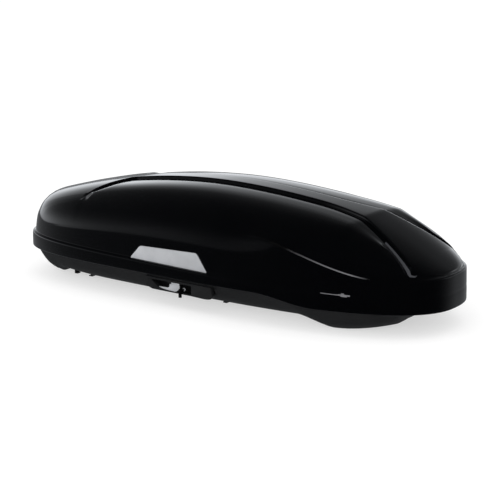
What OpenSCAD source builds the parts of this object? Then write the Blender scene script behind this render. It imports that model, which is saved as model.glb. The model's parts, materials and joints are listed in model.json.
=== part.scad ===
// Roof cargo box: two moulded shells hinged on the far side, opened from the near side.
// Millimetres. Origin under the middle of the box at the lowest point, +X to the nose,
// +Y to the hinge side, +Z up.

/* [Overall size] */
// Length, tail to nose
box_l = 1960; // [1600:10:2300]
// Width
box_w = 778; // [640:2:900]
// Height of the roof at its highest point
box_h = 468; // [380:1:540]

/* [Lid] */
// Wall of the lid
lid_t = 4; // [3:0.5:6]
// Drop of the roof from its highest point to the tail
tail_drop = 133; // [60:1:180]
// Position of the cross crease where the nose slope starts
crease_x = 620; // [450:5:750]
// Depth of the two roof channels
channel_d = 17; // [0:1:20]
// Half width of a roof channel
channel_w = 13; // [6:1:20]
// Height of the bumper edge at the nose
bumper_z = 221; // [180:1:260]
// How far the rim band stands out
band_step = 12; // [4:0.5:14]

/* [Base] */
// Wall of the base tray
base_t = 4; // [3:0.5:6]
// Height of the middle floor above the chin
floor_z = 36; // [20:1:60]
// Height of the upstand inside the lid
upstand_h = 30; // [15:1:40]

/* [Hinges and lock] */
// Height of the hinge line
hinge_z = 88; // [80:1:100]
// Sideways position of the hinge line
hinge_y = 366; // [350:1:372]
// Sideways position of the lock shaft
shaft_y = -290; // [-310:1:-270]
// Height of the lock shaft
shaft_z = 80; // [70:1:100]
// Free running clearance of pins, per side
run_c = 0.05; // [0.02:0.01:0.1]

/* [Roof bar clamps] */
// Rear bar position
bar_rear_x = -680; // [-700:5:-600]
// Front bar position
bar_front_x = 30; // [-50:5:100]
// Sideways position of the clamps
clamp_y = 212; // [150:1:215]

/* [Hidden] */
$fn = 40;
n1 = 29;
ns = 2 * n1;
kk = 2 * ns;
x0 = -98;
p_rear = 4.76; q_rear = 3.77;
p_nose = 2.607; q_nose = 2.5;
hinge_xs = [-420, -100, 220];
hook_xs = [-440, -60, 300];
bearing_xs = [-400, -140, 120, 340];
lock_x = -24;
lock_z = 80;
nring = 16;

// ---- curves that the shells share ----
function sm(a, b, x) = let(t = min(1, max(0, (x - a) / (b - a)))) t * t * (3 - 2 * t);
function mix(a, b, t) = a + (b - a) * t;

// roof line along the middle
function roof_z(x) =
  x < -60 ? box_h - tail_drop * pow((-60 - x) / 890, 1.9)
  : x < crease_x ? box_h - 51 * pow((x + 60) / 610, 1.8)
  : let(d = x - crease_x) box_h - 51 * pow((crease_x + 60) / 610, 1.8) - 0.43 * d - 0.00028 * d * d;
// lower edge of the lid
function rim_z(x) = 126 - 32 * sm(307, 561, x);
// top of the rim band
function band_z(x) = 171 - 0.02 * x;
// foot of the upper body
function foot_z(x) = 157 + (bumper_z - 157) * sm(200, 700, x);
// bumper edge, rising towards the tail
function edge_z(x) = let(f = foot_z(x), r = roof_z(x))
  max(f + 0.5, min(f + (r - f) * (0.40 + 0.20 * sm(-600, 280, x)), 335 - (335 - bumper_z) * sm(280, 820, x)));
// sideways place of a roof channel
function chan_y(x) = 56 + 200 * pow(min(1.4, max(0, (-526 - x) / 78)), 1.1) + 150 * pow(max(0, (x - 420) / 500), 1.6);
function chan_lean(x) = let(s = (chan_y(x + 2) - chan_y(x - 2)) / 4) sqrt(1 + s * s);
function chan_depth(x) = channel_d * sm(-607, -590, x) * (1 - sm(888, 900, x));
// how far the shoulder beside a channel lies under the middle panel
function step_d(x) = 0.6 * chan_depth(x);
// underside of the base
function floor_f(x) = floor_z * (1 - sm(455, 590, x)) - 24 * (1 - sm(-800, -730, x))
  + min(72, 30 * pow(max(0, (x - 600) / 200), 1.7) + 32 * sm(800, 870, x));
// height of the tray's wall that shows under the lid
function lip_d(x) = 20 - 15 * sm(740, 860, x);

// stations round the plan, closer together at the ends
function stn(i) = i <= n1
  ? let(u = i / n1) acos(pow(1 - 0.5 * pow(u, 4) - 0.5 * u * u, p_rear / 2))
  : let(u = (ns - i) / n1) 180 - acos(pow(1 - 0.5 * pow(u, 4) - 0.5 * u * u, p_nose / 2));
function plan_x(i, er, ef) = let(th = stn(i)) i <= n1
  ? x0 - (box_l / 2 + x0 - er) * pow(abs(cos(th)), 2 / p_rear)
  : x0 + (box_l / 2 - x0 - ef) * pow(abs(cos(th)), 2 / p_nose);
function plan_w(i, x, o) = let(th = stn(min(ns - 1, max(1, i))))
  (box_w / 2 - o) * pow(sin(th), 2 / (i <= n1 ? q_rear : q_nose))
    * (1 - 0.029 * pow(max(0, (x0 - x) / (box_l / 2 + x0)), 2));
// half width of the outline at a place along the box
function half_w(x) = x < x0
  ? let(f = (x0 - x) / (box_l / 2 + x0)) box_w / 2 * pow(1 - pow(f, p_rear), 1 / q_rear) * (1 - 0.029 * f * f)
  : box_w / 2 * pow(1 - pow((x - x0) / (box_l / 2 - x0), p_nose), 1 / q_nose);

// section of the upper body: share of the half width at a share of the height, and back
li_k = 1 - 26.8 / box_w;
function k_of_t(t) = li_k * pow(max(0, 1 - pow(min(1, max(0, t)), 3.37)), 1 / 2.78);
function t_of_k(k) = pow(max(0, 1 - pow(min(1, k / li_k), 2.78)), 1 / 3.37);

// how far each ring of the lid stands in from the tail and from the nose
function ring_t(j) = j < 6 ? [0, 0, 0, 0.12, 0.38, 0.42][j] : j < 9 ? 0.42 + 0.04 * (j - 5)
  : j < 12 ? 0.55 + 0.06 * (j - 8) : j < 15 ? 0.729 : j == 15 ? 0.97 : 1;
function ring_er(j) = j == 0 ? 0 : j == 1 ? 1 : j == 2 ? 1 + band_step
  : let(t = ring_t(j)) 13 + 6 * t + 22 * (1 - sqrt(1 - pow(t, 5))) + 1.5 * max(0, j - 11);
function ring_ef(j) = j < 5 ? j : 12 + 1.2 * (j - 5);

// a point of the lid: ring j, station i, o = how far inside the outer skin
function lid_pt(j, i, o) = let(
  x = plan_x(i, ring_er(j) + o, ring_ef(j) + o),
  w = plan_w(i, x, o), hb = box_w / 2,
  b = sm(120, 620, x), f = foot_z(x) - o, r = max(roof_z(x) - o, f + 1),
  z4 = edge_z(x) - 8 - o, z5 = edge_z(x) + 2 - o, z3 = mix(band_z(x), z4, 0.5),
  t5 = min(0.9, (z5 - f) / (r - f)),
  g0 = chan_y(x), e = sm(760, 870, x), y8 = max(0.66 * w, min(g0 + 30, mix(0.92, 0.963, e) * w)),
  t8 = t_of_k(y8 / w), g = min(g0, mix(0.9, 0.955, e) * y8), s = min(1, g / 40),
  cw = min(channel_w * s * min(2, chan_lean(x)), (y8 - g) / 1.3), d = chan_depth(x),
  yr = j < 9 ? 0 : j < 12 ? mix(y8, g + cw, (j - 8) / 3) : j == 12 ? g + 0.45 * cw
    : j == 13 ? g - 0.7 * cw : j == 14 ? g - cw : j == 15 ? 0.5 * (g - cw) : 0,
  tr = t_of_k(yr / w))
  j == 0 ? [x, w, rim_z(x)]
  : j == 1 ? [x, w * (1 - 1 / hb), band_z(x) - 7]
  : j == 2 ? [x, w * (1 - (1 + band_step * (1 - 0.5 * b) * (1 - sm(640, 690, x))) / hb), band_z(x)]
  : j == 3 ? [x, w * mix(k_of_t((z3 - f) / (r - f)), 1 - 3 / hb, b), z3]
  : j == 4 ? [x, w * mix(k_of_t((z4 - f) / (r - f)), 1 - 4 / hb, b), z4]
  : j == 5 ? [x, w * k_of_t(t5), z5]
  : j < 9 ? let(t = mix(t5, max(t5 + 0.01, t8), (j - 5) / 3)) [x, w * k_of_t(t), f + t * (r - f)]
  : [x, yr, f + tr * (r - f) - ((j == 12 || j == 13) ? d : j < 12 ? step_d(x) * sm(0, 1, (j - 8) / 3) : 0)];

// a point of the base tray
function base_in(j) = [14, 14, 24, 54, 92, 114, 114][j];
function base_pt(j, i, o) = let(
  e = base_in(j) + o, x = plan_x(i, e, e), w = plan_w(i, x, e),
  f = floor_f(x) + o, d = rim_z(x) - lip_d(x) - floor_f(x))
  j == 0 ? [x, w, rim_z(x) + upstand_h]
  : j == 1 ? [x, w, rim_z(x) - 4 + o / 2]
  : j == 2 ? [x, w, rim_z(x) - lip_d(x) + o / 2]
  : [x, w, f + d * [0, 0, 0, 0.42, 0.12, 0, 0][j]];
// inner floor height of the base at a place in plan
function floor_in(x, y) = let(i = half_w(x) - abs(y), f = floor_f(x) + base_t, d = rim_z(x) - lip_d(x) - floor_f(x))
  f + d * (i > 118 ? 0 : i > 96 ? 0.12 * (118 - i) / 22 : i > 58 ? 0.12 + 0.30 * (96 - i) / 38
    : 0.42 + 0.58 * (58 - i) / 30);

// ---- shells from rings ----
function near_far(p, k) = [p[0], (k == 0 || k == ns) ? 0 : k < ns ? -p[1] : p[1], p[2]];
function stat(k) = k <= ns ? k : kk - k;
function quad(a, b, c, d) = [[a, b, c], [a, c, d]];
function skin_faces(nr, base, up) = [for (j = [0 : nr - 1], k = [0 : kk - 1]) let(
    k2 = (k + 1) % kk, a = base + j * kk + k, d = base + j * kk + k2,
    b = j == nr - 1 ? base + nr * kk + stat(k) : base + (j + 1) * kk + k,
    c = j == nr - 1 ? base + nr * kk + stat(k2) : base + (j + 1) * kk + k2)
  each up ? quad(a, b, c, d) : quad(a, d, c, b)];
function strip_faces(o, i, up) = [for (k = [0 : kk - 1]) let(k2 = (k + 1) % kk)
  each up ? quad(o + k, o + k2, i + k2, i + k) : quad(o + k, i + k, i + k2, o + k2)];

module lid_solid() {
  pts = [for (o = [0, lid_t]) each concat(
    [for (j = [0 : nring - 1], k = [0 : kk - 1]) near_far(lid_pt(j, stat(k), o), k)],
    [for (i = [0 : ns]) let(p = lid_pt(nring, i, o)) [p[0], 0, p[2]]])];
  n = nring * kk + ns + 1;
  polyhedron(pts, concat(skin_faces(nring, 0, true), skin_faces(nring, n, false), strip_faces(0, n, true)),
    convexity = 8);
}
module base_solid() {
  pts = [for (o = [0, base_t]) each concat(
    [for (j = [0 : 5], k = [0 : kk - 1]) near_far(base_pt(j, stat(k), o), k)],
    [for (i = [0 : ns]) let(p = base_pt(6, i, o)) [p[0], 0, p[2]]])];
  n = 6 * kk + ns + 1;
  polyhedron(pts, concat(skin_faces(6, 0, false), skin_faces(6, n, true), strip_faces(0, n, false)),
    convexity = 8);
}
module seal_solid() {
  lo = [for (o = [0, base_t], k = [0 : kk - 1]) near_far(base_pt(0, stat(k), o), k)];
  hi = [for (o = [0.6, base_t - 0.6], k = [0 : kk - 1])
    let(p = near_far(base_pt(0, stat(k), o), k)) [p[0], p[1], p[2] + 7]];
  polyhedron(concat(lo, hi), concat(
    strip_faces(0, kk, true), strip_faces(2 * kk, 3 * kk, false),
    [for (k = [0 : kk - 1]) let(k2 = (k + 1) % kk) each quad(k, 2 * kk + k, 2 * kk + k2, k2)],
    [for (k = [0 : kk - 1]) let(k2 = (k + 1) % kk) each quad(kk + k, kk + k2, 3 * kk + k2, 3 * kk + k)]),
    convexity = 4);
}

// ---- small helpers ----
module box(a, b) { translate(a) cube(b - a); }
module along_x(xa, xb, y, z, r) { translate([xa, y, z]) rotate([0, 90, 0]) cylinder(r = r, h = xb - xa); }
module along_y(ya, yb, x, z, r) { translate([x, ya, z]) rotate([-90, 0, 0]) cylinder(r = r, h = yb - ya); }
// outline in the side view (x, z), thick from y = ya to y = yb
module side_plate(ya, yb, pts) { translate([0, yb, 0]) rotate([90, 0, 0]) linear_extrude(yb - ya) polygon(pts); }
// outline in the end view (y, z), thick from x = xa to x = xb
module end_plate(xa, xb, pts) {
  translate([xa, 0, 0]) rotate([90, 0, 90]) linear_extrude(xb - xa) polygon(pts);
}

// ---- base ----
function clamp_sites() = [for (x = [bar_rear_x, bar_front_x], s = [-1, 1]) [x, s * clamp_y]];
recess = [[-176, 106], [25, 106], [25, 68], [-60, 68], [-101, 69.5], [-137, 76]];
cup = [[-188, 110], [44, 110], [44, 64], [-60, 62.5], [-142, 68], [-186, 98]];
housing = [[-204, 114], [118, 114], [127, 80], [119, 70], [108, 64.5], [82, 63.5], [30, 65.5], [-168, 65.5],
  [-184, 70.5], [-204, 78]];
module claw_slots(za, zb) for (c = clamp_sites()) {
  box([c[0] - 47, c[1] - 11, za], [c[0] - 37, c[1] + 11, zb]);
  box([c[0] + 22, c[1] + 1.5, za], [c[0] + 58, c[1] + 11.5, zb]);
}
module base_tray() color([0.09, 0.09, 0.1]) difference() {
  union() {
    base_solid();
    // blocks behind the hinges
    for (x = hinge_xs) box([x - 34, 322, 62], [x + 34, 353, 100]);
  }
  for (x = hinge_xs) box([x - 34, 353, 62], [x + 34, 392, 100]);
  claw_slots(30, 45);
  side_plate(-392, -360, housing);
  side_plate(-361, -330, cup);
  along_y(-330, -317, lock_x, lock_z, 17);
}
module seal_strip() color([0.05, 0.05, 0.05]) seal_solid();

module rail(s) color([0.7, 0.7, 0.72]) difference() {
  union() {
    box([-722, s * clamp_y - 18, 40], [120, s * clamp_y + 18, 42]);
    for (e = [-18, 16]) box([-722, s * clamp_y + e, 42], [120, s * clamp_y + e + 2, 48]);
  }
  claw_slots(39, 43);
}
module rail_near() rail(-1);
module rail_far() rail(1);
module rail_rivets() color([0.6, 0.6, 0.62]) for (s = [-1, 1], x = [-580, -440, -300, -160, -60])
  translate([x, s * clamp_y, 42]) { cylinder(r = 5, h = 1.2); cylinder(r1 = 4, r2 = 2.5, h = 2.2); }

// ---- handle, lock ----
module handle_housing() color([0.07, 0.07, 0.08]) union() {
  difference() {
    side_plate(-378, -360, housing);
    side_plate(-379, -359, recess);
  }
  difference() {
    union() {
      box([-91, -377, 97.5], [-85, -364, 107]);
      box([-33, -377, 97.5], [-30.4, -364, 107]);
    }
    along_x(-92, -30, -371, 101, 2 + run_c);
  }
}
module handle_cup() color([0.07, 0.07, 0.08]) difference() {
  side_plate(-360, -330, cup);
  side_plate(-361, -346, recess);
  along_y(-350, -329, lock_x, lock_z, 7 + run_c);
}
module lock_block() color([0.04, 0.04, 0.04]) difference() {
  side_plate(-358, -346.5, [[-38, 105], [24, 105], [24, 68.5], [-38, 68.5]]);
  along_y(-359, -346, lock_x, lock_z, 7 + run_c);
}
module grip_pin() color([0.6, 0.6, 0.6]) along_x(-90, -30.6, -371, 101, 2);
module grip_spring() color([0.5, 0.5, 0.5]) for (x = [-83.5 : 1.5 : -76.5])
  difference() { along_x(x, x + 1.2, -371, 101, 3.8); along_x(x - 1, x + 3, -371, 101, 2.6); }
// J-shaped pull: an upright with a tail along the bottom and a hollow inner corner
module grip() color([0.75, 0.76, 0.78]) difference() {
  union() {
    side_plate(-374, -369, [[-84, 103], [-35.5, 103], [-35.5, 85], [-51, 70.5], [-60, 69.5], [-101, 71], [-131, 75.5],
      [-137, 79.3], [-117, 80], [-93, 80.5], [-86, 84], [-84, 90]]);
    along_x(-74.5, -35.5, -371, 101, 4.5);
  }
  along_x(-85, -33, -371, 101, 2 + run_c);
  box([-85, -376, 96.5], [-75, -365, 106]);
}
module lock_cylinder() color([0.8, 0.8, 0.8]) difference() {
  along_y(-359, -323.9, lock_x, lock_z, 7);
  box([lock_x - 1.1, -360, lock_z - 4.1], [lock_x + 1.1, -341, lock_z + 4.1]);
}
module drive_disc() color([0.6, 0.6, 0.6]) {
  along_y(-323.9, -319, lock_x, lock_z, 15.5);
  along_y(-319, -312, lock_x + 12 * cos(45), lock_z - 12 * sin(45), 3);
}
module key_blade() color([0.7, 0.7, 0.7]) box([lock_x - 1, -359.2, lock_z - 4], [lock_x + 1, -342, lock_z + 4]);
module key_head() color([0.03, 0.03, 0.03]) difference() {
  union() {
    end_plate(lock_x - 5, lock_x + 5, [[-386.6, 53], [-381.4, 53], [-379.4, 55], [-379.4, 83], [-381.4, 85],
      [-386.6, 85], [-388.6, 83], [-388.6, 55]]);
    box([lock_x - 3, -380, lock_z - 4], [lock_x + 3, -359.3, lock_z + 4]);
  }
  along_x(lock_x - 6, lock_x + 6, -384, 59.5, 2.4);
}

// lock shaft with three hooks, turned by the fork
module lock_shaft() color([0.65, 0.65, 0.67]) along_x(-480, 366, shaft_y, shaft_z, 5);
function arc(r, a, b, n) = [for (i = [0 : n]) let(t = a + (b - a) * i / n)
  [shaft_y - r * sin(t), shaft_z + r * cos(t)]];
module lock_hooks() color([0.55, 0.55, 0.57]) for (x = hook_xs) difference() {
  union() {
    end_plate(x - 2.5, x + 2.5, concat(arc(43, 12, 64, 8), arc(35.6, 46, 12, 6)));
    end_plate(x - 2.5, x + 2.5, concat(arc(43, 46, 64, 3), arc(6, 64, 46, 2)));
    along_x(x - 6, x + 6, shaft_y, shaft_z, 9);
  }
  along_x(x - 7, x + 7, shaft_y, shaft_z, 5);
}
module shaft_fork() color([0.55, 0.55, 0.57]) translate([lock_x + 13, shaft_y, shaft_z]) rotate([19.35, 0, 0])
  difference() {
    union() {
      along_x(-12, 6, 0, 0, 9);
      for (s = [-1, 1]) box([-11, -27.5, s * 5.7 - 1.5], [5, -4, s * 5.7 + 1.5]);
    }
    along_x(-13, 7, 0, 0, 5);
  }
module shaft_bearings() color([0.06, 0.06, 0.06]) for (x = bearing_xs) difference() {
  end_plate(x - 8, x + 8, [[shaft_y + 14, floor_in(x, shaft_y + 14) + 0.8],
    [shaft_y - 14, floor_in(x, shaft_y - 14) + 0.8], [shaft_y - 14, shaft_z + 9], [shaft_y + 14, shaft_z + 9]]);
  along_x(x - 9, x + 9, shaft_y, shaft_z, 5 + run_c);
}

// ---- hinges ----
module hinge_base_leaves() color([0.1, 0.1, 0.1]) for (x = hinge_xs) difference() {
  union() {
    box([x - 30, 353, 66], [x + 30, 356, 98]);
    for (s = [-1, 1]) {
      box([x + s * 20.1 - 9.9, 355, 82], [x + s * 20.1 + 9.9, hinge_y, 88]);
      along_x(x + s * 20.1 - 9.9, x + s * 20.1 + 9.9, hinge_y, hinge_z, 6);
    }
  }
  along_x(x - 31, x + 31, hinge_y, hinge_z, 3);
}
module hinge_pins() color([0.7, 0.7, 0.7]) for (x = hinge_xs) along_x(x - 31.5, x + 31.5, hinge_y, hinge_z, 3);
module hinge_base_screws() color([0.6, 0.6, 0.6]) for (x = hinge_xs, s = [-1, 1])
  along_y(356, 358.5, x + s * 18, 73, 4.5);
function leaf_y(x) = min(half_w(x - 15), half_w(x + 15)) - 5.8;
module hinge_lid_leaves() color([0.1, 0.1, 0.1]) for (x = hinge_xs) let(y = leaf_y(x)) difference() {
  union() {
    end_plate(x - 9.9, x + 9.9, [[hinge_y - 4, hinge_z + 4.5], [hinge_y + 4, hinge_z - 3],
      [y, 101], [y, 155], [y - 2.5, 155], [y - 2.5, 103]]);
    box([x - 15, y - 2.5, 108], [x + 15, y, 155]);
    along_x(x - 9.9, x + 9.9, hinge_y, hinge_z, 6);
  }
  along_x(x - 11, x + 11, hinge_y, hinge_z, 3 + run_c);
}
module hinge_lid_screws() color([0.6, 0.6, 0.6]) for (x = hinge_xs, z = [122, 144])
  along_y(leaf_y(x) - 4.5, leaf_y(x) - 2.5, x, z, 4.5);

// ---- lid ----
module lid_shell() color([0.02, 0.02, 0.02]) lid_solid();
plate_pts = [[-277, band_z(-277) + 1.5], [101, band_z(101) + 1.5], [97, 178], [55, 238], [47, 241.5],
  [-222, 233.5], [-231, 230], [-275, 183]];
module plate(s) color([0.75, 0.76, 0.78])
  side_plate(s > 0 ? 376.6 : -379, s > 0 ? 379 : -376.6, plate_pts);
module nameplate_near() plate(-1);
module nameplate_far() plate(1);
// stiffening arch under the roof
function arch_line(x, o) = let(w = (half_w(x) - 4) * li_k - 1.5 - o, f = 150, h = roof_z(x) - 34 - o)
  [for (i = [0 : 24]) let(a = 84 - 168 * i / 24)
    [w * sign(a) * pow(abs(sin(a)), 0.72), f + (h - f) * pow(cos(a), 0.593)]];
module arch(x) color([0.6, 0.61, 0.63]) let(a = arch_line(x, 0), b = arch_line(x, 4), n = len(b))
  end_plate(x - 18, x + 18, concat(a, [for (i = [n - 1 : -1 : 0]) b[i]]));
module lid_arch_rear() arch(-330);
module lid_arch_front() arch(100);
module striker_rail() color([0.6, 0.61, 0.63]) box([-500, shaft_y - 10, 176], [350, shaft_y + 10, 188]);
module striker_brackets() color([0.3, 0.3, 0.32]) for (x = hook_xs) {
  box([x - 14, -half_w(x + sign(x) * 16) + 20, 178], [x + 14, shaft_y - 10, 184]);
  for (s = [-1, 1]) box([x + s * 9.5 - 2, shaft_y - 9, shaft_z + 24], [x + s * 9.5 + 2, shaft_y + 9, 176]);
}
module striker_pins() color([0.75, 0.75, 0.75]) for (x = hook_xs)
  along_x(x - 7.5, x + 7.5, shaft_y, shaft_z + 30, 3);

// ---- telescopic stays: tube on the base, rod on the lid ----
stay_a = [285, 54];
stay_b = [289.5, 257];
stay_xs = [-300, 130];
stay_len = norm(stay_b - stay_a);
stay_ang = atan2(stay_b[1] - stay_a[1], stay_b[0] - stay_a[0]);
module on_stay(x) { translate([x, stay_a[0], stay_a[1]]) rotate([stay_ang - 90, 0, 0]) children(); }
module stay_base_brackets() color([0.1, 0.1, 0.1]) for (x = stay_xs) {
  for (s = [-1, 1]) end_plate(x + s * 5.8 - 1.5, x + s * 5.8 + 1.5, [[277, floor_in(x, 277) + 0.6],
    [293, floor_in(x, 293) + 0.6], [291, 60], [279, 60]]);
  along_x(x - 8, x + 8, stay_a[0], stay_a[1], 2.5);
}
module stay_tube(x) color([0.05, 0.05, 0.05]) difference() {
  on_stay(x) {
    along_x(-4, 4, 0, 0, 5);
    cylinder(r = 4, h = 14);
    translate([0, 0, 13]) cylinder(r = 6.5, h = 115);
  }
  along_x(x - 9, x + 9, stay_a[0], stay_a[1], 2.5 + run_c);
  on_stay(x) translate([0, 0, 20]) cylinder(r = 4 + run_c, h = 130);
}
module stay_rod(x) color([0.75, 0.75, 0.76]) on_stay(x) {
  translate([0, 0, 58]) cylinder(r = 4, h = stay_len - 66.5);
  difference() { along_x(-3, 3, 0, stay_len, 10.5); along_x(-4, 4, 0, stay_len, 7.5); }
}
module stay_tube_rear() stay_tube(stay_xs[0]);
module stay_rod_rear() stay_rod(stay_xs[0]);
module stay_tube_front() stay_tube(stay_xs[1]);
module stay_rod_front() stay_rod(stay_xs[1]);
module stay_lid_brackets() color([0.5, 0.5, 0.52]) for (x = stay_xs) {
  end_plate(x - 12, x - 9, [[282, 250], [292, 246], [347, 246], [345, 284], [336, 300], [284, 266]]);
  along_x(x - 9, x + 6, stay_b[0], stay_b[1], 3);
  along_x(x + 4.5, x + 6, stay_b[0], stay_b[1], 9);
}

// ---- roof bar clamps: fixed claw on the body, sliding claw driven by the knob ----
module clamp_body(x, y) color([0.08, 0.08, 0.09]) translate([x, y, 0]) difference() {
  union() {
    box([-60, -15.5, 42], [62, 15.5, 66]);
    box([-46, -10, 14], [-38, 10, 43]);
    box([-46, -10, 10], [-31, 10, 15]);
  }
  box([-30, 1.9, 41], [60, 11.1, 52.4]);
  translate([0, -1, 41]) cylinder(r = 4.8, h = 12);
  translate([0, -1, 50]) cylinder(r = 4 + run_c, h = 17);
}
module claw(x, y) color([0.45, 0.45, 0.47]) translate([x, y, 0]) {
  box([-8, 2.5, 42.8], [56, 10.5, 51.6]);
  box([46, 2.5, 34], [54, 10.5, 43]);
  box([46, -10, 10], [54, 11, 35]);
  box([36, -10, 10], [47, 11, 14]);
}
module knob(x, y) color([0.12, 0.12, 0.13]) translate([x, y - 1, 0]) {
  translate([0, 0, 43]) cylinder(r = 3.1, h = 11);
  translate([0, 0, 52.6]) cylinder(r = 4, h = 15);
  difference() {
    union() {
      translate([0, 0, 67]) cylinder(r = 23, h = 6);
      translate([0, 0, 73]) cylinder(r = 20, h = 12);
      translate([0, 0, 85]) cylinder(r1 = 20, r2 = 17, h = 3);
    }
    for (a = [0 : 45 : 359]) rotate(a) translate([24, 0, 72]) cylinder(r = 6, h = 20);
  }
}
module clamp_body_rear_near() clamp_body(bar_rear_x, -clamp_y);
module clamp_body_rear_far() clamp_body(bar_rear_x, clamp_y);
module clamp_body_front_near() clamp_body(bar_front_x, -clamp_y);
module clamp_body_front_far() clamp_body(bar_front_x, clamp_y);
module claw_rear_near() claw(bar_rear_x, -clamp_y);
module claw_rear_far() claw(bar_rear_x, clamp_y);
module claw_front_near() claw(bar_front_x, -clamp_y);
module claw_front_far() claw(bar_front_x, clamp_y);
module knob_rear_near() knob(bar_rear_x, -clamp_y);
module knob_rear_far() knob(bar_rear_x, clamp_y);
module knob_front_near() knob(bar_front_x, -clamp_y);
module knob_front_far() knob(bar_front_x, clamp_y);
module bar_pads() color([0.04, 0.04, 0.04]) for (c = clamp_sites())
  box([c[0] - 30, c[1] - 14, floor_z - 3], [c[0] + 20, c[1] + 14, floor_z]);

base_tray();
seal_strip();
rail_near();
rail_far();
rail_rivets();
handle_housing();
handle_cup();
lock_block();
grip_pin();
grip_spring();
shaft_bearings();
hinge_base_leaves();
hinge_pins();
hinge_base_screws();
stay_base_brackets();
clamp_body_rear_near();
clamp_body_rear_far();
clamp_body_front_near();
clamp_body_front_far();
bar_pads();
lid_shell();
nameplate_near();
nameplate_far();
lid_arch_rear();
lid_arch_front();
striker_rail();
striker_brackets();
striker_pins();
hinge_lid_leaves();
hinge_lid_screws();
stay_lid_brackets();
grip();
lock_cylinder();
drive_disc();
key_blade();
key_head();
lock_shaft();
lock_hooks();
shaft_fork();
stay_tube_rear();
stay_rod_rear();
stay_tube_front();
stay_rod_front();
knob_rear_near();
knob_rear_far();
knob_front_near();
knob_front_far();
claw_rear_near();
claw_rear_far();
claw_front_near();
claw_front_far();
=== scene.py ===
"""Looks of the roof cargo box: shells, plates and grip in fine mesh, procedural materials, plain studio."""
import json
import math

import bpy
import bmesh
import numpy as np
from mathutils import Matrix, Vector


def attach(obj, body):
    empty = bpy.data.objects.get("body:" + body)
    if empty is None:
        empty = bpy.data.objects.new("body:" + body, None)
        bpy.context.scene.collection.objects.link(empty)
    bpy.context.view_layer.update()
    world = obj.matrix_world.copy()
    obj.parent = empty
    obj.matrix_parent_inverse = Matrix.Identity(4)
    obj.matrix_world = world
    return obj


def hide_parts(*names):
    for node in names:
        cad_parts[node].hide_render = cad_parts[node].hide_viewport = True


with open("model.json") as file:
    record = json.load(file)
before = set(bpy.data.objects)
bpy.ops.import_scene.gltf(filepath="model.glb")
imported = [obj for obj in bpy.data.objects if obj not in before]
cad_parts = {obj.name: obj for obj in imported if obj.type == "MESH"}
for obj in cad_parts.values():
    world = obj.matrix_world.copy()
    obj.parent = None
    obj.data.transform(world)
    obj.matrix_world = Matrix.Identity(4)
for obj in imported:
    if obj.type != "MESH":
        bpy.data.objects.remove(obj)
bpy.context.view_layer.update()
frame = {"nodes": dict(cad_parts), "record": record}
MM = 0.001

# ---------------------------------------------------------------- camera
AZIMUTH, ELEVATION, DISTANCE = 35.05, 13.56, 5.242
TARGET = Vector((0, 0, 0.2))
SENSOR_WIDTH, FOCAL_LENGTH = 36, 91.68
SHIFT_X, SHIFT_Y = 0.017, -0.0136


def add_camera():
    data = bpy.data.cameras.new("photo_view")
    data.sensor_width = SENSOR_WIDTH
    data.lens = FOCAL_LENGTH
    data.shift_x, data.shift_y = SHIFT_X, SHIFT_Y
    cam = bpy.data.objects.new("photo_view", data)
    bpy.context.scene.collection.objects.link(cam)
    az, el = math.radians(AZIMUTH), math.radians(ELEVATION)
    back = Vector((math.sin(az) * math.cos(el), -math.cos(az) * math.cos(el), math.sin(el)))
    cam.location = TARGET + back * DISTANCE
    cam.rotation_euler = (-back).to_track_quat("-Z", "Y").to_euler()
    bpy.context.scene.camera = cam


add_camera()

# ---------------------------------------------------------------- shape, in millimetres, as in the CAD
L, W, H = 1960.0, 778.0, 468.0
HB = W / 2
# plan outline: station of the greatest width, then the curve exponents of the tail half and the nose half
X0, PR, QR, PN, QN = -98.0, 4.76, 3.77, 2.607, 2.5
BUMPER, CHANNEL_W, CHANNEL_D, CREASE_X = 221.0, 13.0, 17.0, 620.0
WALL, FLOOR, UPSTAND = 4.0, 36.0, 30.0
LIK = 1 - 26.8 / W
# roof: station of the top, and the fall from there to the crease
TOP_X, TOP_FALL, TOP_RUN, TOP_POWER = -60, 51, 610, 1.8
# rim band: height of its upper corner over its line, depth of the ledge, draft of the plain nose wall
BAND_TOP, LEDGE_DEPTH, NOSE_DRAFT = 3.2, 13, 4
# bumper edge: where the wall stops below it and where the shelf starts above it
EDGE_BELOW, EDGE_ABOVE = 8, 2
# stations between which the side wall straightens and the ledge runs out
STRAIGHT_FROM, STRAIGHT_TO = 120, 620
LEDGE_FROM, LEDGE_TO = 660, 745


def sm(a, b, x):
    t = np.clip((x - a) / (b - a), 0, 1)
    return t * t * (3 - 2 * t)


def mix(a, b, t):
    return a + (b - a) * t


def roof_z(x):
    rear = H - 133 * np.maximum(0, (TOP_X - x) / 890) ** 1.9
    top = H - TOP_FALL * np.maximum(0, (x - TOP_X) / TOP_RUN) ** TOP_POWER
    d = np.maximum(0, x - CREASE_X)
    nose = H - TOP_FALL * ((CREASE_X - TOP_X) / TOP_RUN) ** TOP_POWER - 0.43 * d - 0.00028 * d * d
    return np.where(x < TOP_X, rear, np.where(x < CREASE_X, top, nose))


def rim_z(x):
    return 126 - 32 * sm(307, 561, x)


def band_z(x):
    return 171 - 0.02 * x


def foot_z(x):
    return 157 + (BUMPER - 157) * sm(200, 700, x)


def edge_z(x):
    f, r = foot_z(x), roof_z(x)
    sweep = 335 - (335 - BUMPER) * sm(280, 820, x)
    low = np.minimum(f + (r - f) * (0.40 + 0.20 * sm(-600, 280, x)), sweep)
    return np.maximum(f + 0.5, low)


def chan_y(x):
    return 56 + 200 * np.clip((-526 - x) / 78, 0, 1.05) ** 1.1 + 150 * np.maximum(0, (x - 420) / 500) ** 1.6


def chan_lean(x):
    return np.minimum(2, np.hypot(1, (chan_y(x + 2) - chan_y(x - 2)) / 4))


def chan_depth(x):
    return CHANNEL_D * sm(-607, -590, x) * (1 - sm(888, 900, x))


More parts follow.
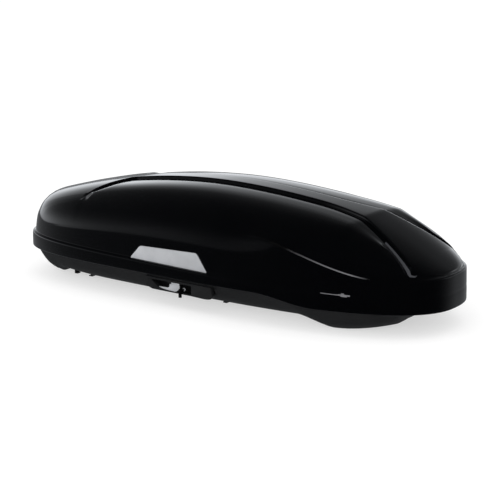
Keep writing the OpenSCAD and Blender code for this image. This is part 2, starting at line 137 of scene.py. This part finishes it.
def floor_f(x):
    nose = np.minimum(72, 30 * np.maximum(0, (x - 600) / 200) ** 1.7 + 32 * sm(800, 870, x))
    return FLOOR * (1 - sm(455, 590, x)) - 24 * (1 - sm(-800, -730, x)) + nose


def lip_d(x):
    return 20 - 15 * sm(740, 860, x)


def k_of_t(t):
    return LIK * (1 - np.clip(t, 0, 1) ** 3.37) ** (1 / 2.78)


def t_of_k(k):
    return np.maximum(0, 1 - np.minimum(1, k / LIK) ** 2.78) ** (1 / 3.37)


class Plan:
    """Stations round half of the outline, from tail to nose."""

    def __init__(self, half):
        u = np.linspace(0, 1, half + 1)
        share = 1 - 0.5 * u ** 4 - 0.5 * u * u
        rear = np.arccos(np.clip(share ** (PR / 2), 0, 1))
        nose = np.pi - np.arccos(np.clip(share ** (PN / 2), 0, 1))
        self.th = np.concatenate([rear, nose[:-1][::-1]])
        self.n = len(self.th) - 1
        self.rear = np.arange(self.n + 1) <= half

    def x(self, er, ef):
        c = np.abs(np.cos(self.th))
        return np.where(self.rear, X0 - (L / 2 + X0 - er) * c ** (2 / PR), X0 + (L / 2 - X0 - ef) * c ** (2 / PN))

    def w(self, x, o):
        th = np.clip(self.th, self.th[1], self.th[-2])
        q = np.where(self.rear, QR, QN)
        return (HB - o) * np.sin(th) ** (2 / q) * (1 - 0.029 * np.maximum(0, (X0 - x) / (L / 2 + X0)) ** 2)

    def points(self, x, y, z):
        y = y.copy()
        y[0] = y[-1] = 0
        return np.stack([x, y, z], -1)


def rear_inset(t):
    return 13 + 6 * t + 22 * (1 - math.sqrt(1 - t ** 5))


def lid_rings(plan, o):
    """Rings of the lid skin from the rim to the roof middle; o is how far inside the outer skin."""
    rings = []

    def draft(x, z):
        """Inset of the plain nose wall, straight from the rim to the bumper edge."""
        return NOSE_DRAFT * (z - rim_z(x)) / (edge_z(x) - EDGE_BELOW - rim_z(x))

    def band(inset, zf, ledge=False):
        x = plan.x(inset + o, min(inset, 2.0) + o)
        w = plan.w(x, o)
        f = 1 - sm(LEDGE_FROM, LEDGE_TO, x)
        deep = 1 - (0.5 * sm(STRAIGHT_FROM, STRAIGHT_TO, x) if inset > 5 else 0)
        step = inset * deep * f + draft(x, zf(x)) * (1 - f) if ledge else inset
        rings.append(plan.points(x, w * (1 - step / HB), zf(x)))

    band(3.4, lambda x: rim_z(x) + 0.3)
    band(1.2, lambda x: rim_z(x))
    band(0.3, lambda x: rim_z(x) + 1.2)
    band(0.0, lambda x: rim_z(x) + 5)
    band(0.3, lambda x: mix(rim_z(x), band_z(x), 0.5), True)
    band(0.8, lambda x: band_z(x) - 10, True)
    band(1.4, lambda x: band_z(x) - 4.5, True)
    band(3.4, lambda x: band_z(x) - 1.4, True)
    band(8.0, lambda x: band_z(x) + 0.4, True)
    band(12.2, lambda x: band_z(x) + 1.4, True)
    band(LEDGE_DEPTH, lambda x: band_z(x) + BAND_TOP, True)

    def upper(t_nom, ef, fn):
        x = plan.x(rear_inset(t_nom) + o if t_nom > 0.03 else 8 + 170 * t_nom + o, ef + o)
        w = plan.w(x, o)
        foot = foot_z(x) - o
        top = np.maximum(roof_z(x) - o, foot + 1)
        rings.append(plan.points(x, *fn(x, w, foot, top)))

    def side(a):
        def fn(x, w, foot, top):
            z4 = edge_z(x) - EDGE_BELOW - o
            z = mix(band_z(x) + BAND_TOP, z4, a)
            b = sm(STRAIGHT_FROM, STRAIGHT_TO, x)
            k = mix(k_of_t((z - foot) / (top - foot)), 1 - draft(x, z) / HB, b)
            f = 1 - sm(LEDGE_FROM, LEDGE_TO, x)
            k0 = 1 - (LEDGE_DEPTH * (1 - 0.5 * b) * f + draft(x, z) * (1 - f)) / HB
            return w * mix(k0, k, min(1, a / 0.42) ** 0.75 if a < 0.42 else 1), z
        return fn

    for a in (0.06, 0.13, 0.22, 0.32, 0.45, 0.6, 0.75, 0.9):
        upper(0.03 + 0.22 * a if a < 0.5 else 0.14 + 0.48 * (a - 0.5), 1.5 + 2 * a, side(a))

    def lip(dz, share, tuck):
        """Round-over of the bumper edge: share of the way from the wall to the shelf."""
        def fn(x, w, foot, top):
            z5 = edge_z(x) + EDGE_ABOVE - o
            k5 = k_of_t(np.minimum(0.9, (z5 - foot) / (top - foot)))
            z4 = edge_z(x) - EDGE_BELOW - o
            k4 = mix(k_of_t((z4 - foot) / (top - foot)), 1 - NOSE_DRAFT / HB, sm(STRAIGHT_FROM, STRAIGHT_TO, x))
            b = sm(120, 420, x)
            z = mix(mix(z4, z5, share), edge_z(x) + dz - o, b)
            return w * mix(mix(k4, k5, share), mix(k4, k5, tuck), b), z
        return fn

    round_over = ((-6, 0.0, 0.0, 0.38, 3.5), (-2.6, 0.3, 0.02, 0.386, 3.7), (-0.8, 0.45, 0.10, 0.392, 4.4),
                  (0.2, 0.6, 0.26, 0.398, 5.8), (0.9, 0.75, 0.5, 0.405, 7.8), (1.4, 0.9, 0.8, 0.412, 10.2),
                  (2.2, 1.0, 1.0, 0.42, 12))
    for dz, share, tuck, t_nom, ef in round_over:
        upper(t_nom, ef, lip(dz, share, tuck))

    def shoulder(a, part):
        """Shelf and roof: the rise over the shelf, the roof outside a channel, the channel, the middle panel."""
        def fn(x, w, foot, top):
            z5 = edge_z(x) + EDGE_ABOVE - o
            t5 = np.minimum(0.9, (z5 - foot) / (top - foot))
            g0 = chan_y(x)
            e = sm(760, 870, x)
            y8 = np.maximum(0.66 * w, np.minimum(g0 + 30, mix(0.92, 0.963, e) * w))
            t8 = t_of_k(y8 / w)
            g = np.minimum(g0, mix(0.9, 0.955, e) * y8)
            s = np.minimum(1, g / 40)
            cw = np.minimum(CHANNEL_W * s * chan_lean(x), (y8 - g) / 1.3)
            if part == "rise":
                t = mix(t5, np.maximum(t5 + 0.01, t8), a)
                return w * k_of_t(t), foot + t * (top - foot)
            if part == "roof":
                y, dip = mix(y8, g + cw * 1.25, a), 0.57 * a * a * (3 - 2 * a)
            elif part == "channel":
                y, dip = g - a[0] * cw, a[1]
            else:
                y, dip = (g - cw * 1.25) * (1 - a), 0
            return y, foot + t_of_k(y / w) * (top - foot) - dip * chan_depth(x)
        return fn

    for a in (0.08, 0.25, 0.5, 0.75, 1.0):
        upper(0.42 + 0.12 * a, 12.2 + 3.4 * a, shoulder(a, "rise"))
    for a in (0.2, 0.4, 0.6, 0.8, 1.0):
        upper(0.55 + 0.18 * a, 15.6 + 3.6 * a, shoulder(a, "roof"))
    profile = ((-1.0, 0.6), (-0.9, 0.66), (-0.8, 0.78), (-0.7, 0.92), (-0.58, 1.0), (0.0, 1.0), (0.6, 1.0),
               (0.68, 0.93), (0.74, 0.7), (0.84, 0.3), (0.92, 0.08), (1.02, 0.01), (1.25, 0.0))
    for n, across_and_dip in enumerate(profile):
        upper(0.731 + 0.0006 * n, 19.4 + 0.25 * n, shoulder(across_and_dip, "channel"))
    for a in (0.15, 0.35, 0.55, 0.75, 0.9):
        upper(0.745 + 0.24 * a, 22.6 + 2.4 * a, shoulder(a, "panel"))
    upper(0.999, 25.2, shoulder(1.0, "panel"))
    return rings


# rings of the lid: floor of a channel, round-over of the bumper edge, top of the rim band, and the ring
# that the ledge's tip stays under
CHANNEL_FLOOR_RINGS = {40, 41, 42}
EDGE_RINGS = {20, 21, 22, 23}
LEDGE_RINGS = {7, 8, 9}
TIP_TOP_RING = 15
# stations between which these strips take their own material, a painted highlight
# painted highlight: the channel floor between these stations is painted lighter, for a reflection
CHANNEL_HIGHLIGHT_X = (742, 893)
EDGE_HIGHLIGHT_X = (380, 760)
LEDGE_HIGHLIGHT_X = (590, 690)
# lens-shaped painted highlight at the end of the ledge: middle, half length, half height, rise over the band's line
TIP_X, TIP_LONG, TIP_HIGH, TIP_RISE = 668, 25, 4.5, 1


def ring_mesh(name, skins, flip):
    """Closed mesh from an outer and an inner set of half rings; the last ring of each is its middle line."""
    n = len(skins[0][0]) - 1
    loop = 2 * n
    stat = [k if k <= n else loop - k for k in range(loop)]
    verts, faces, starts = [], [], []
    for rings in skins:
        base = len(verts)
        starts.append(base)
        for ring in rings[:-1]:
            for k in range(loop):
                p = ring[stat[k]]
                verts.append((p[0] * MM, (-p[1] if k <= n else p[1]) * MM, p[2] * MM))
        for p in rings[-1]:
            verts.append((p[0] * MM, 0.0, p[2] * MM))
    for s, rings in enumerate(skins):
        nr, base = len(rings) - 1, starts[s]
        for j in range(nr):
            for k in range(loop):
                k2 = (k + 1) % loop
                a, d = base + j * loop + k, base + j * loop + k2
                if j < nr - 1:
                    b, c = base + (j + 1) * loop + k, base + (j + 1) * loop + k2
                else:
                    b, c = base + nr * loop + stat[k], base + nr * loop + stat[k2]
                faces.append((a, b, c, d) if (s == 0) == flip else (a, d, c, b))
    for k in range(loop):
        k2 = (k + 1) % loop
        a, b, c, d = starts[0] + k, starts[0] + k2, starts[1] + k2, starts[1] + k
        faces.append((a, b, c, d) if flip else (a, d, c, b))
    me = bpy.data.meshes.new(name)
    me.from_pydata(verts, [], [tuple(reversed(f)) for f in faces])
    me.validate()
    me.polygons.foreach_set("use_smooth", [True] * len(me.polygons))
    me.update()
    obj = bpy.data.objects.new(name, me)
    bpy.context.scene.collection.objects.link(obj)
    return obj


def base_rings(plan, o):
    """Rings of the tray skin from the upstand down to the floor middle."""
    rings = []

    def ring(inset, fn, inner=1.0):
        e = inset + o
        x = plan.x(e, e)
        rings.append(plan.points(x, plan.w(x, e), fn(x) + o * inner))

    def side(share):
        return lambda x: floor_f(x) + share * (rim_z(x) - lip_d(x) - floor_f(x))

    ring(14, lambda x: rim_z(x) + UPSTAND, 0)
    ring(14, lambda x: rim_z(x) + UPSTAND - 1.5, 0)
    ring(14, lambda x: rim_z(x) + 6, 0.2)
    ring(14.2, lambda x: rim_z(x) - 4, 0.5)
    ring(15.5, lambda x: rim_z(x) - 4 - 0.25 * (lip_d(x) - 4), 0.5)
    ring(18.5, lambda x: rim_z(x) - 4 - 0.56 * (lip_d(x) - 4), 0.5)
    for inset, share in ((24, 1.0), (32, 0.81), (42, 0.61), (54, 0.42), (66, 0.295), (79, 0.19), (92, 0.115),
                         (101, 0.045), (108, 0.01)):
        ring(inset, side(share))
    for inset in (115, 128, 170, 230, 300, 350):
        ring(inset, side(0.0))
    ring(386, side(0))
    return rings


def cut(obj, cutters):
    """Takes closed prisms out of a mesh and forgets them."""
    for c in cutters:
        m = obj.modifiers.new("cut", "BOOLEAN")
        m.operation, m.solver, m.object = "DIFFERENCE", "EXACT", c
    apply(obj)
    for c in cutters:
        bpy.data.objects.remove(c)


def apply(obj):
    dg = bpy.context.evaluated_depsgraph_get()
    me = bpy.data.meshes.new_from_object(obj.evaluated_get(dg))
    obj.modifiers.clear()
    old = obj.data
    obj.data = me
    me.name = old.name
    bpy.data.meshes.remove(old)


def add_mesh(name, verts, faces, smooth=False):
    me = bpy.data.meshes.new(name)
    me.from_pydata([tuple(c * MM for c in v) for v in verts], [], faces)
    bm = bmesh.new()
    bm.from_mesh(me)
    bmesh.ops.recalc_face_normals(bm, faces=bm.faces)
    bm.to_mesh(me)
    bm.free()
    if smooth:
        me.polygons.foreach_set("use_smooth", [True] * len(me.polygons))
    obj = bpy.data.objects.new(name, me)
    bpy.context.scene.collection.objects.link(obj)
    return obj


def prism_faces(n):
    """Two ends and n sides, for the points of one end followed by those of the other."""
    return [tuple(range(n)), tuple(range(2 * n - 1, n - 1, -1))] + [(k, (k + 1) % n, n + (k + 1) % n, n + k)
                                                                    for k in range(n)]


def prism(name, pts, ya, yb):
    """Outline in the side view (x, z), solid from y = ya to y = yb."""
    verts = [(p[0], y, p[1]) for y in (ya, yb) for p in pts]
    return add_mesh(name, verts, prism_faces(len(pts)))


def block(name, a, b):
    return prism(name, [(a[0], a[2]), (b[0], a[2]), (b[0], b[2]), (a[0], b[2])], a[1], b[1])


def rounded(pts, radii, steps=6):
    """Rounds the corners of an outline."""
    out, n = [], len(pts)
    for i, p in enumerate(pts):
        p = np.array(p, float)
        a, b = np.array(pts[i - 1], float) - p, np.array(pts[(i + 1) % n], float) - p
        r = radii[i] if hasattr(radii, "__len__") else radii
        la, lb = np.linalg.norm(a), np.linalg.norm(b)
        r = min(r, 0.48 * la, 0.48 * lb)
        pa, pb = p + a / la * r, p + b / lb * r
        for t in np.linspace(0, 1, steps):
            out.append(tuple((1 - t) ** 2 * pa + 2 * t * (1 - t) * p + t * t * pb))
    return out


def join(objs, name):
    bpy.ops.object.select_all(action="DESELECT")
    for o in objs:
        o.select_set(True)
    bpy.context.view_layer.objects.active = objs[0]
    bpy.ops.object.join()
    objs[0].name = name
    return objs[0]


def bevel(obj, width, segments=3, angle=30):
    m = obj.modifiers.new("edge", "BEVEL")
    m.width, m.segments, m.limit_method, m.angle_limit = width * MM, segments, "ANGLE", math.radians(angle)
    m.harden_normals = True
    return m


def shade_auto(obj, angle=35):
    me = obj.data
    me.polygons.foreach_set("use_smooth", [True] * len(me.polygons))
    me.set_sharp_from_angle(angle=math.radians(angle))


# ---------------------------------------------------------------- materials
def new_material(name, base, rough, metal=0.0, **sockets):
    mat = bpy.data.materials.new(name)
    mat.use_nodes = True
    sh = mat.node_tree.nodes["Principled BSDF"]
    sh.inputs["Base Color"].default_value = (*base, 1)
    sh.inputs["Roughness"].default_value = rough
    sh.inputs["Metallic"].default_value = metal
    for key, value in sockets.items():
        sh.inputs[key.replace("_", " ")].default_value = value
    return mat


def grain(mat, scale, strength, distance, rough_mix=None, tint=None, stretch=(1, 1, 1), kind="noise"):
    """Bump, and if asked roughness and colour variation, from object coordinates."""
    nt = mat.node_tree
    sh = nt.nodes["Principled BSDF"]
    tc = nt.nodes.new("ShaderNodeTexCoord")
    mp = nt.nodes.new("ShaderNodeMapping")
    mp.inputs["Scale"].default_value = stretch
    nt.links.new(tc.outputs["Object"], mp.inputs["Vector"])
    if kind == "voronoi":
        tex = nt.nodes.new("ShaderNodeTexVoronoi")
        tex.inputs["Scale"].default_value = scale
        out = tex.outputs["Distance"]
    else:
        tex = nt.nodes.new("ShaderNodeTexNoise")
        tex.inputs["Scale"].default_value = scale
        tex.inputs["Detail"].default_value = 3.0
        out = tex.outputs["Fac"]
    nt.links.new(mp.outputs["Vector"], tex.inputs["Vector"])
    bump = nt.nodes.new("ShaderNodeBump")
    bump.inputs["Strength"].default_value = strength
    bump.inputs["Distance"].default_value = distance
    nt.links.new(out, bump.inputs["Height"])
    nt.links.new(bump.outputs["Normal"], sh.inputs["Normal"])
    if rough_mix or tint:
        wide = nt.nodes.new("ShaderNodeTexNoise")
        wide.inputs["Scale"].default_value = rough_mix[2] if rough_mix else 6
        wide.inputs["Detail"].default_value = 4
        nt.links.new(tc.outputs["Object"], wide.inputs["Vector"])
    if rough_mix:
        mr = nt.nodes.new("ShaderNodeMapRange")
        mr.inputs["From Min"].default_value, mr.inputs["From Max"].default_value = 0.3, 0.7
        mr.inputs["To Min"].default_value, mr.inputs["To Max"].default_value = rough_mix[:2]
        nt.links.new(wide.outputs["Fac"], mr.inputs["Value"])
        nt.links.new(mr.outputs["Result"], sh.inputs["Roughness"])
    if tint:
        ramp = nt.nodes.new("ShaderNodeValToRGB")
        ramp.color_ramp.elements[0].position, ramp.color_ramp.elements[1].position = 0.35, 0.65
        ramp.color_ramp.elements[0].color = (*tint[0], 1)
        ramp.color_ramp.elements[1].color = (*tint[1], 1)
        nt.links.new(wide.outputs["Fac"], ramp.inputs["Fac"])
        nt.links.new(ramp.outputs["Color"], sh.inputs["Base Color"])
    return mat


def fade_along_x(mat, stops):
    """Grey level of the base colour against the place along the box, in metres; it fades the painted highlight along
    the bumper edge in and out.
    """
    nt = mat.node_tree
    tc = nt.nodes.new("ShaderNodeTexCoord")
    sep = nt.nodes.new("ShaderNodeSeparateXYZ")
    ramp = nt.nodes.new("ShaderNodeValToRGB")
    els = ramp.color_ramp.elements
    while len(els) < len(stops):
        els.new(0.5)
    for e, (pos, level) in zip(els, stops):
        e.position, e.color = pos, (level, level, level * 1.06, 1)
    nt.links.new(tc.outputs["Object"], sep.inputs["Vector"])
    nt.links.new(sep.outputs["X"], ramp.inputs["Fac"])
    nt.links.new(ramp.outputs["Color"], nt.nodes["Principled BSDF"].inputs["Base Color"])


# base colour, roughness and metal of each slot, its other sockets, and what grain() lays over it
LOOKS = {
    "lid_gloss": (((0.0008, 0.0009, 0.0012), 0.09), dict(Coat_Weight=0.5, Coat_Roughness=0.03, Specular_IOR_Level=0.45),
                  (260, 0.012, 0.0006), dict(rough_mix=(0.07, 0.12, 5))),
    # painted highlight: lighter base colour for a reflection on the channel floor near the nose
    "painted_channel_highlight": (((0.05, 0.052, 0.058), 0.32), dict(Coat_Weight=0.2),
                      (900, 0.05, 0.0003), dict(rough_mix=(0.28, 0.36, 12))),
    # painted highlight: lighter base colour along the bumper edge, the ledge and the ledge's tip, faded in and out
    # along the box
    "painted_edge_highlight": (((0.16, 0.165, 0.175), 0.28), dict(Coat_Weight=0.3),
                   (900, 0.04, 0.0003), dict(rough_mix=(0.24, 0.32, 12))),
    "base_plastic": (((0.009, 0.0092, 0.01), 0.5), dict(Specular_IOR_Level=0.28), (900, 0.5, 0.0006),
                     dict(rough_mix=(0.46, 0.6, 9), tint=((0.0075, 0.0078, 0.0085), (0.0105, 0.0108, 0.0115)),
                          kind="voronoi")),
    "black_plastic": (((0.0035, 0.0035, 0.004), 0.5), dict(Specular_IOR_Level=0.25),
                      (1400, 0.25, 0.0004), dict(rough_mix=(0.36, 0.5, 20))),
    "lock_black": (((0.0015, 0.0015, 0.0016), 0.3), dict(Specular_IOR_Level=0.3),
                   (300, 0.02, 0.0003), dict(rough_mix=(0.18, 0.3, 30))),
    "knob_plastic": (((0.02, 0.02, 0.022), 0.4), {}, (1200, 0.3, 0.0004), dict(rough_mix=(0.33, 0.5, 25))),
    "seal_rubber": (((0.012, 0.012, 0.012), 0.75), {}, (700, 0.3, 0.0004), dict(rough_mix=(0.68, 0.85, 14))),
    "rail_steel": (((0.46, 0.47, 0.49), 0.34, 1.0), {}, (60, 0.08, 0.0003),
                   dict(stretch=(1, 40, 40), rough_mix=(0.28, 0.42, 30),
                        tint=((0.42, 0.43, 0.45), (0.52, 0.53, 0.55)))),
    "bright_steel": (((0.7, 0.7, 0.71), 0.16, 1.0), {}, (500, 0.03, 0.0002), dict(rough_mix=(0.12, 0.24, 40))),
    "dark_steel": (((0.035, 0.035, 0.038), 0.42, 0.5), {}, (800, 0.15, 0.0003), dict(rough_mix=(0.36, 0.52, 30))),
    "silver_plate": (((0.42, 0.43, 0.46), 0.33, 0.35), dict(Coat_Weight=0.25, Coat_Roughness=0.1), (1500, 0.12, 0.0002),
                     dict(rough_mix=(0.3, 0.38, 18), tint=((0.43, 0.44, 0.46), (0.48, 0.49, 0.51)))),
}
# painted highlight: grey levels of the bumper edge strip along the box
EDGE_HIGHLIGHT_FADE = ((0.44, 0.0008), (0.58, 0.09), (0.69, 0.13), (0.755, 0.0008))
MATS = {name: grain(new_material(name, *base, **sockets), *bump, **over)
        for name, (base, sockets, bump, over) in LOOKS.items()}
fade_along_x(MATS["painted_edge_highlight"], EDGE_HIGHLIGHT_FADE)
SLOT = {s["node"]: s["material_slot"] for s in frame["record"]["subparts"]}


def paint(obj, slot):
    obj.data.materials.clear()
    obj.data.materials.append(MATS[slot])


for node, obj in frame["nodes"].items():
    for ms in obj.material_slots:
        ms.link = "OBJECT"
        ms.material = MATS[SLOT[node]]

# ---------------------------------------------------------------- shells
HALF = 110
plan = Plan(HALF)


def settle(obj, body, slot, *nodes):
    paint(obj, slot)
    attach(obj, body)
    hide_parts(*nodes)
    return obj


lid = ring_mesh("lid_skin", [lid_rings(plan, 0), lid_rings(plan, WALL)], True)
settle(lid, "lid", "lid_gloss", "lid_shell")
lid.data.materials.append(MATS["painted_channel_highlight"])
lid.data.materials.append(MATS["painted_edge_highlight"])
loop = 2 * plan.n
# faces that take the painted highlights: the channel floor near the nose, the bumper edge, the ledge and its
# lens-shaped tip
for poly in lid.data.polygons:
    rows, cx, cz = {v // loop for v in poly.vertices}, poly.center.x / MM, poly.center.z / MM
    on_edge = rows <= EDGE_RINGS and EDGE_HIGHLIGHT_X[0] < cx < EDGE_HIGHLIGHT_X[1]
    on_ledge = rows <= LEDGE_RINGS and LEDGE_HIGHLIGHT_X[0] < cx < LEDGE_HIGHLIGHT_X[1]
    off_tip = ((cx - TIP_X) / TIP_LONG) ** 2 + ((cz - band_z(cx) - TIP_RISE) / TIP_HIGH) ** 2
    if rows <= CHANNEL_FLOOR_RINGS and CHANNEL_HIGHLIGHT_X[0] < cx < CHANNEL_HIGHLIGHT_X[1]:
        poly.material_index = 1
    elif on_edge or on_ledge or (max(rows) < TIP_TOP_RING and off_tip < 1):
        poly.material_index = 2

RECESS = [(-176, 106), (25, 106), (25, 68), (-60, 68), (-101, 69.5), (-137, 76)]
HOUSING = [(-204, 114), (118, 114), (127, 80), (119, 70), (108, 64.5), (82, 63.5), (30, 65.5), (-168, 65.5),
           (-184, 70.5), (-204, 78)]
BAR_XS = (-680, 30)
CLAMP_Y = 212
HINGE_XS = (-420, -100, 220)
tray = ring_mesh("tray_skin", [base_rings(plan, 0), base_rings(plan, WALL)], False)
claw_cuts = []
for bx in BAR_XS:
    for s in (-1, 1):
        claw_cuts.append(block("c", (bx - 47, s * CLAMP_Y - 11, 30), (bx - 37, s * CLAMP_Y + 11, 45)))
        claw_cuts.append(block("c", (bx + 22, s * CLAMP_Y + 1.5, 30), (bx + 58, s * CLAMP_Y + 11.5, 45)))
for x in HINGE_XS:
    claw_cuts.append(block("c", (x - 34, 353, 62), (x + 34, 392, 100)))
claw_cuts.append(prism("c", HOUSING, -392, -345))
cut(tray, [join(claw_cuts, "cutters")])
hinge_backs = [block("b", (x - 34, 322, 62), (x + 34, 353, 100)) for x in HINGE_XS]
for o in hinge_backs:
    bevel(o, 1.5, 2)
    apply(o)
    shade_auto(o)
tray = join([tray] + hinge_backs, "tray_skin")
settle(tray, "base", "base_plastic", "base_tray")
tray.data.set_sharp_from_angle(angle=math.radians(50))

# ---------------------------------------------------------------- nameplates, housing, grip, key
PLATE = [(-277, band_z(-277) + 1.5), (101, band_z(101) + 1.5), (97, 178), (55, 238), (47, 241.5), (-222, 233.5),
         (-231, 230), (-275, 183)]


def nameplate(s):
    """Blank plate on the near (s = -1) or far (s = 1) side of the lid."""
    pts = rounded(PLATE, [9, 9, 12, 10, 8, 8, 10, 12], 5)
    ya, yb = sorted((s * 376.6, s * 379.0))
    p = prism("nameplate_%s" % ("far" if s > 0 else "near"), pts, ya, yb)
    bevel(p, 1.0, 3)
    apply(p)
    shade_auto(p)
    return settle(p, "lid", "silver_plate", "nameplate_far" if s > 0 else "nameplate_near")


nameplate(-1)
nameplate(1)

housing = prism("handle_frame", rounded(HOUSING, [3, 3, 10, 6, 8, 8, 14, 10, 10, 8]), -378, -360)
cut(housing, [prism("c", rounded(RECESS, [6, 4, 5, 5, 8, 6]), -392, -340)])
bevel(housing, 1.6, 3)
apply(housing)
shade_auto(housing)
lugs = [block("b", (-91, -377, 97.5), (-85, -364, 107)), block("b", (-33, -377, 97.5), (-30.4, -364, 107))]
for o in lugs:
    bevel(o, 0.6, 2)
    apply(o)
housing = join([housing] + lugs, "handle_frame")
settle(housing, "base", "base_plastic", "handle_housing")


GRIP = [(-84, 103), (-35.5, 103), (-35.5, 85), (-51, 70.5), (-60, 69.5), (-101, 71), (-131, 75.5), (-137, 79.3),
        (-117, 80), (-93, 80.5), (-86, 84), (-84, 90)]
GRIP_RADII = [1, 4, 6, 4, 4, 6, 3, 1.5, 6, 4, 4, 3]


def cylinder_along_x(radius, length, at, vertices):
    """Round bar in millimetres with its middle at a point given in metres."""
    bpy.ops.mesh.primitive_cylinder_add(vertices=vertices, radius=radius * MM, depth=length * MM, location=at,
                                        rotation=(0, math.pi / 2, 0))
    bar = bpy.context.object
    bpy.ops.object.transform_apply(location=True, rotation=True, scale=True)
    return bar


def make_grip():
    body = prism("grip_bar", rounded(GRIP, GRIP_RADII, 5), -374, -369)
    cut(body, [block("c", (-86, -380, 96.5), (-75, -360, 108))])
    bevel(body, 1.2, 3)
    apply(body)
    shade_auto(body)
    roll = cylinder_along_x(4.5, 39, (-0.055, -0.371, 0.101), 40)
    bevel(roll, 0.6, 2)
    apply(roll)
    shade_auto(roll)
    g = join([body, roll], "grip_bar")
    return settle(g, "grip_lever", "silver_plate", "grip")


make_grip()

LOCK_X = -24


def make_key():
    bow = rounded([(-388.6, 53), (-379.4, 53), (-379.4, 85), (-388.6, 85)], 2.6, 5)
    verts = [(x, y, z) for x in (LOCK_X - 5, LOCK_X + 5) for y, z in bow]
    head = add_mesh("key_bow", verts, prism_faces(len(bow)))
    cut(head, [cylinder_along_x(2.4, 14, (LOCK_X * MM, -0.384, 0.0595), 24)])
    bevel(head, 1.4, 3)
    apply(head)
    shade_auto(head)
    neck = block("b", (LOCK_X - 3, -380, 76), (LOCK_X + 3, -359.3, 84))
    bevel(neck, 1.0, 2)
    apply(neck)
    k = join([head, neck], "key_bow")
    settle(k, "key", "lock_black", "key_head")


make_key()

# soft edges, in millimetres, on the hard pieces that keep their CAD shape
SOFT_EDGES = {"lock_block": 1.0, "striker_rail": 0.8, "hinge_base_leaves": 0.5, "hinge_lid_leaves": 0.4,
              "shaft_bearings": 1.0, "lid_arch_rear": 0.6, "lid_arch_front": 0.6, "rail_near": 0.4, "rail_far": 0.4,
              "stay_lid_brackets": 0.4}
for corner in ("rear_near", "rear_far", "front_near", "front_far"):
    SOFT_EDGES["clamp_body_" + corner] = 1.2
    SOFT_EDGES["claw_" + corner] = 0.8
for node, width in SOFT_EDGES.items():
    bevel(frame["nodes"][node], width, 2, 40)

# ---------------------------------------------------------------- floor, light
FLOOR_RADIUS, FLOOR_Z, FLOOR_SIDES = 30.0, -0.0005, 48


def add_floor():
    r, z, n = FLOOR_RADIUS / MM, FLOOR_Z / MM, FLOOR_SIDES
    turns = [2 * math.pi * k / n for k in range(n)]
    verts = [(0, 0, z)] + [(r * math.cos(t), r * math.sin(t), z) for t in turns]
    faces = [(0, k + 1, (k + 1) % n + 1) for k in range(n)]
    floor = add_mesh("studio_floor", verts, faces)
    mat = new_material("studio_floor", (0.5, 0.5, 0.5), 0.9, Specular_IOR_Level=0.0, Emission_Color=(1, 1, 1, 1),
                       Emission_Strength=0.55)
    floor.data.materials.append(mat)
    floor.visible_glossy = False


def area(name, at, look, size, power):
    """White soft light at a place, turned to a point; it lights the box and isn't seen in its gloss."""
    data = bpy.data.lights.new(name, "AREA")
    data.shape, data.size, data.size_y = "RECTANGLE", size[0], size[1]
    data.energy = power
    o = bpy.data.objects.new(name, data)
    o.location = at
    o.rotation_euler = (Vector(look) - Vector(at)).to_track_quat("-Z", "Y").to_euler()
    o.visible_glossy = False
    bpy.context.scene.collection.objects.link(o)


# across the ground, away from the near side and towards the tail, where the pale wall stands
WALL_WAY = (-0.574, 0.819)
# brightness of the wall against height, and against how far towards it a reflection looks
WALL_HEIGHTS = ((0.0, 0.0), (0.02, 1.0), (0.13, 0.85), (0.25, 0.4), (0.38, 0.13), (0.55, 0.03), (1.0, 0.0))
WALL_SIDES = ((0.3, 0.0), (0.5, 0.3), (0.7, 0.9), (1.0, 1.0))
WALL_STRENGTH, FILL_STRENGTH = 1.35, 1.05


def add_world():
    """White background and fill; for reflections a pale wall behind, fading upward and towards the front."""
    world = bpy.data.worlds.new("studio")
    world.use_nodes = True
    nt = world.node_tree
    link = nt.links.new

    def math_node(op, a, b=None, c=None):
        n = nt.nodes.new("ShaderNodeMath")
        n.operation = op
        for k, v in enumerate((a, b, c)):
            if v is None:
                continue
            if isinstance(v, (int, float)):
                n.inputs[k].default_value = v
            else:
                link(v, n.inputs[k])
        return n.outputs[0]

    def ramp(value, stops):
        n = nt.nodes.new("ShaderNodeValToRGB")
        n.color_ramp.interpolation = "B_SPLINE"
        els = n.color_ramp.elements
        while len(els) < len(stops):
            els.new(0.5)
        for e, (pos, level) in zip(els, stops):
            e.position, e.color = pos, (level, level, level, 1)
        link(value, n.inputs["Fac"])
        return n.outputs["Color"]

    bg = nt.nodes["Background"]
    bg.inputs["Color"].default_value = (1, 1, 1, 1)
    bg.inputs["Strength"].default_value = FILL_STRENGTH
    tc = nt.nodes.new("ShaderNodeTexCoord")
    sep = nt.nodes.new("ShaderNodeSeparateXYZ")
    link(tc.outputs["Generated"], sep.inputs["Vector"])
    back = math_node("ADD", math_node("MULTIPLY", sep.outputs["X"], WALL_WAY[0]),
                     math_node("MULTIPLY", sep.outputs["Y"], WALL_WAY[1]))
    level = ramp(sep.outputs["Z"], WALL_HEIGHTS)
    side = ramp(math_node("MULTIPLY_ADD", back, 0.5, 0.5), WALL_SIDES)
    glow = nt.nodes.new("ShaderNodeBackground")
    glow.inputs["Color"].default_value = (0.93, 0.96, 1, 1)
    link(math_node("MULTIPLY", math_node("MULTIPLY", level, side), WALL_STRENGTH), glow.inputs["Strength"])
    lp = nt.nodes.new("ShaderNodeLightPath")
    mixer = nt.nodes.new("ShaderNodeMixShader")
    link(lp.outputs["Is Glossy Ray"], mixer.inputs["Fac"])
    link(bg.outputs["Background"], mixer.inputs[1])
    link(glow.outputs["Background"], mixer.inputs[2])
    link(mixer.outputs["Shader"], nt.nodes["World Output"].inputs["Surface"])
    bpy.context.scene.world = world


add_floor()
add_world()
area("front_fill", (2.0, -3.6, 1.2), (0, 0, 0.1), (3.0, 1.6), 60)
area("near_fill", (-2.6, -3.2, 0.9), (-0.3, 0, 0.1), (2.4, 1.4), 35)
bpy.context.scene.view_settings.view_transform = "Standard"
